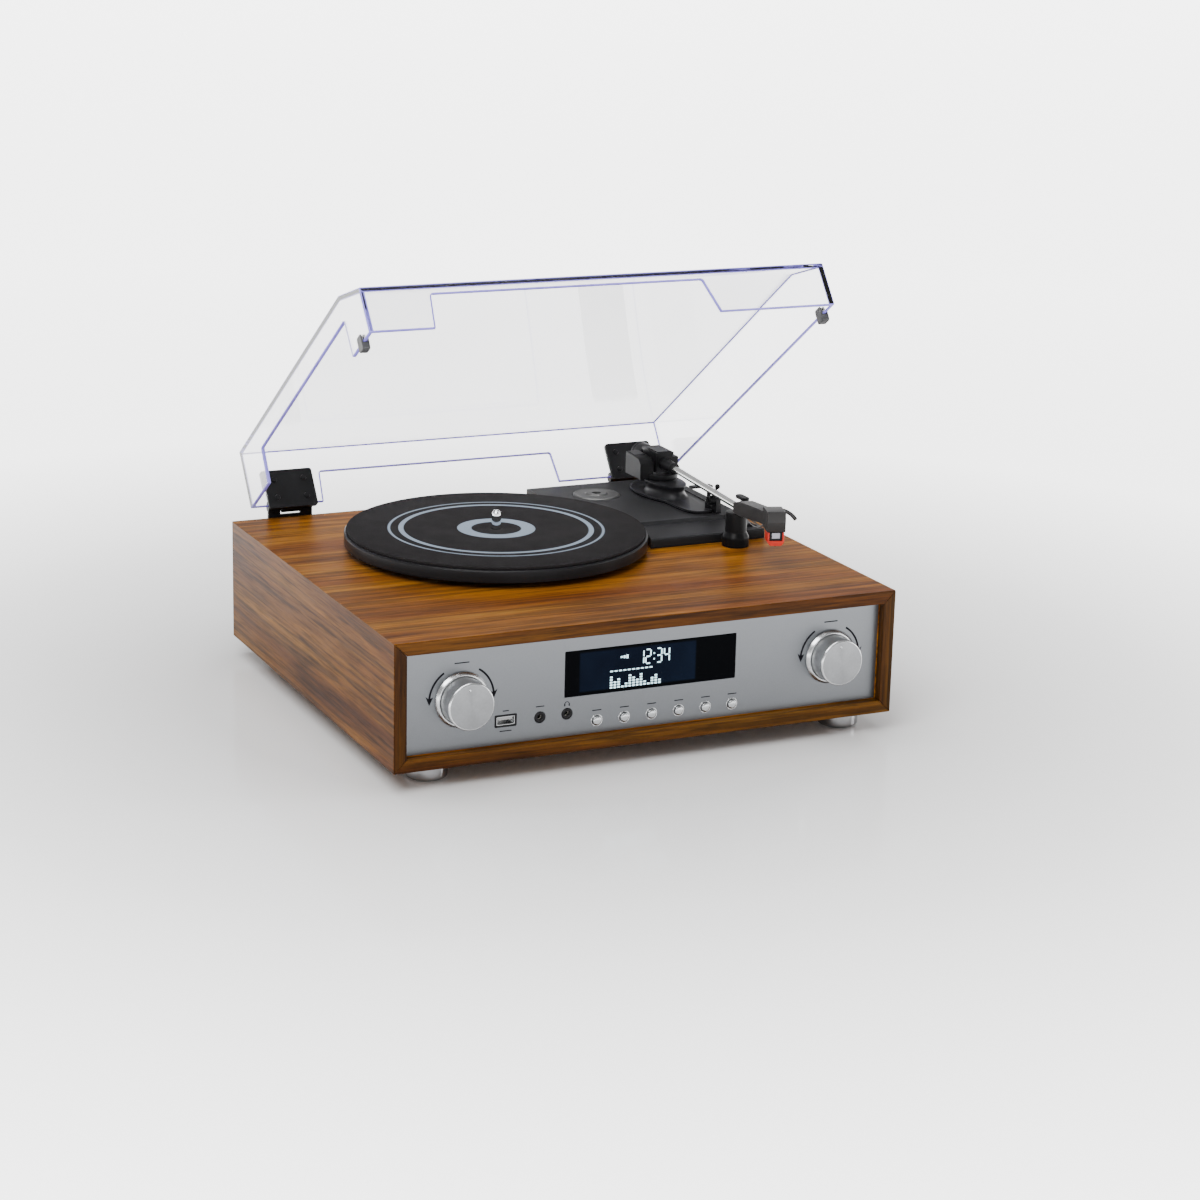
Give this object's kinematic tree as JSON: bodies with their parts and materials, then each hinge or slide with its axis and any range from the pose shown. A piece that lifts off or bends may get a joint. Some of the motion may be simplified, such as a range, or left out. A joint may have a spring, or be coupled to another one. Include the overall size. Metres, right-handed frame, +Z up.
{
  "type": "turntable record player",
  "caption": "Wooden-cased record player with a hinged clear lid, belt-driven platter, tonearm with cueing lever, and a front panel with two knobs, a display and push buttons.",
  "frame": {"origin": "middle of the whole object's bounding box with the lid open as stored, on the surface that the four feet stand on", "axes": "+X to the object's right seen from the front, +Y from the front panel to the back, +Z up, out of the record mat"},
  "size_m": [0.39, 0.3912, 0.3312],
  "materials": {
    "walnut": "satin walnut veneer, grain along the width",
    "walnut_frame": "darker satin walnut",
    "aluminium": "satin",
    "display": "gloss black window",
    "chrome": "polished",
    "black_plastic": "semi-gloss black",
    "black_rubber": "matt black rubber",
    "mat_felt": "black felt with a pale ring pattern",
    "acrylic": "clear acrylic, tinted at its edges",
    "steel": "plain steel",
    "red_plastic": "red plastic",
    "circuit_board": "green board",
    "fibreboard": "dark painted board"
  },
  "bodies": {
    "cabinet": {"arm_base": "black_plastic", "arm_rest": "black_plastic", "aux_jack": "black_plastic", "bearing_spindle": "chrome", "cabinet_shell": "walnut", "display_window": "display", "drive_belt": "black_rubber", "encoder_left": "steel", "encoder_right": "steel", "fascia": "aluminium", "foot_front_left": "chrome", "foot_front_right": "chrome", "foot_rear_left": "chrome", "foot_rear_right": "chrome", "front_board": "circuit_board", "front_frame": "walnut_frame", "headphone_jack": "black_plastic", "hinge_base_left": "black_plastic", "hinge_base_right": "black_plastic", "knob_ring_left": "aluminium", "knob_ring_right": "aluminium", "lcd_module": "black_plastic", "line_out_sockets": "black_plastic", "motor": "steel", "rear_panel": "fibreboard", "speaker_terminals": "black_plastic", "tonearm_deck": "black_plastic", "usb_socket": "steel"},
    "platter": {"platter": "black_plastic", "platter_rim": "black_plastic", "platter_drive_ring": "black_plastic", "slip_mat": "mat_felt"},
    "pulley": {"motor_pulley": "steel"},
    "arm_yoke": {"arm_yoke": "black_plastic"},
    "arm": {"arm_block": "black_plastic", "arm_tube": "chrome", "counterweight": "steel", "headshell": "black_plastic", "cartridge": "black_plastic", "stylus": "red_plastic"},
    "cue_lever": {"cue_lever": "black_plastic"},
    "cue_platform": {"cue_platform": "black_plastic"},
    "arm_clip": {"arm_clip": "black_plastic"},
    "speed_switch": {"speed_switch": "black_plastic"},
    "adapter": {"adapter_45": "aluminium"},
    "lid": {"lid": "acrylic", "lid_bumper_left": "black_rubber", "lid_bumper_right": "black_rubber", "hinge_leaf_left": "black_plastic", "hinge_leaf_right": "black_plastic"},
    "knob_plunger_left": {"encoder_plunger_left": "steel"},
    "knob_left": {"knob_left": "aluminium"},
    "knob_plunger_right": {"encoder_plunger_right": "steel"},
    "knob_right": {"knob_right": "aluminium"},
    "button_1": {"button_1": "aluminium"},
    "button_2": {"button_2": "aluminium"},
    "button_3": {"button_3": "aluminium"},
    "button_4": {"button_4": "aluminium"},
    "button_5": {"button_5": "aluminium"},
    "button_6": {"button_6": "aluminium"}
  },
  "joints": [
    {"name": "platter_spin", "type": "hinge", "parent": "cabinet", "child": "platter", "pos_m": [-0.0332, 0.02419, 0.1177], "axis": [0, 0, 1], "continuous": true},
    {"name": "pulley_spin", "type": "hinge", "parent": "cabinet", "child": "pulley", "pos_m": [-0.1012, 0.09219, 0.1157], "axis": [0, 0, 1], "continuous": true},
    {"name": "arm_yaw", "type": "hinge", "parent": "cabinet", "child": "arm_yoke", "pos_m": [0.144, 0.10509, 0.1337], "axis": [0, 0, -1], "range_deg": [0, 46]},
    {"name": "arm_pitch", "type": "hinge", "parent": "arm_yoke", "child": "arm", "pos_m": [0.144, 0.10509, 0.144], "axis": [-1, 0, 0], "range_deg": [0, 12]},
    {"name": "cue_lever_turn", "type": "hinge", "parent": "cabinet", "child": "cue_lever", "pos_m": [0.152, 0.03009, 0.1287], "axis": [1, 0, 0], "range_deg": [0, 45]},
    {"name": "cue_lift", "type": "slide", "parent": "cabinet", "child": "cue_platform", "axis": [0, 0, 1], "range_m": [-0.005, 0]},
    {"name": "arm_clip_turn", "type": "hinge", "parent": "cabinet", "child": "arm_clip", "pos_m": [0.1502, -0.03041, 0.1437], "axis": [0, 0, 1], "range_deg": [0, 90]},
    {"name": "speed_switch_slide", "type": "slide", "parent": "cabinet", "child": "speed_switch", "axis": [1, 0, 0], "range_m": [-0.003, 0.003]},
    {"name": "adapter_lift", "type": "slide", "parent": "cabinet", "child": "adapter", "axis": [0, 0, 1], "range_m": [0, 0.025]},
    {"name": "lid_hinge", "type": "hinge", "parent": "cabinet", "child": "lid", "pos_m": [0, 0.17289, 0.116], "axis": [-1, 0, 0], "range_deg": [-35.3, 12]},
    {"name": "knob_left_push", "type": "slide", "parent": "cabinet", "child": "knob_plunger_left", "axis": [0, 1, 0], "range_m": [0, 0.001], "stiffness_N_per_m": 900},
    {"name": "knob_left_turn", "type": "hinge", "parent": "knob_plunger_left", "child": "knob_left", "pos_m": [-0.1428, -0.19561, 0.061], "axis": [0, 1, 0], "continuous": true},
    {"name": "knob_right_push", "type": "slide", "parent": "cabinet", "child": "knob_plunger_right", "axis": [0, 1, 0], "range_m": [0, 0.001], "stiffness_N_per_m": 900},
    {"name": "knob_right_turn", "type": "hinge", "parent": "knob_plunger_right", "child": "knob_right", "pos_m": [0.146, -0.19561, 0.061], "axis": [0, 1, 0], "continuous": true},
    {"name": "button_1_press", "type": "slide", "parent": "cabinet", "child": "button_1", "axis": [0, 1, 0], "range_m": [0, 0.0008], "stiffness_N_per_m": 500},
    {"name": "button_2_press", "type": "slide", "parent": "cabinet", "child": "button_2", "axis": [0, 1, 0], "range_m": [0, 0.0008], "stiffness_N_per_m": 500},
    {"name": "button_3_press", "type": "slide", "parent": "cabinet", "child": "button_3", "axis": [0, 1, 0], "range_m": [0, 0.0008], "stiffness_N_per_m": 500},
    {"name": "button_4_press", "type": "slide", "parent": "cabinet", "child": "button_4", "axis": [0, 1, 0], "range_m": [0, 0.0008], "stiffness_N_per_m": 500},
    {"name": "button_5_press", "type": "slide", "parent": "cabinet", "child": "button_5", "axis": [0, 1, 0], "range_m": [0, 0.0008], "stiffness_N_per_m": 500},
    {"name": "button_6_press", "type": "slide", "parent": "cabinet", "child": "button_6", "axis": [0, 1, 0], "range_m": [0, 0.0008], "stiffness_N_per_m": 500}
  ],
  "couplings": [
    {"joint": "pulley_spin", "follows": "platter_spin", "ratio": 13},
    {"joint": "cue_lever_turn", "follows": "cue_lift", "rad_per_m": -157}
  ]
}
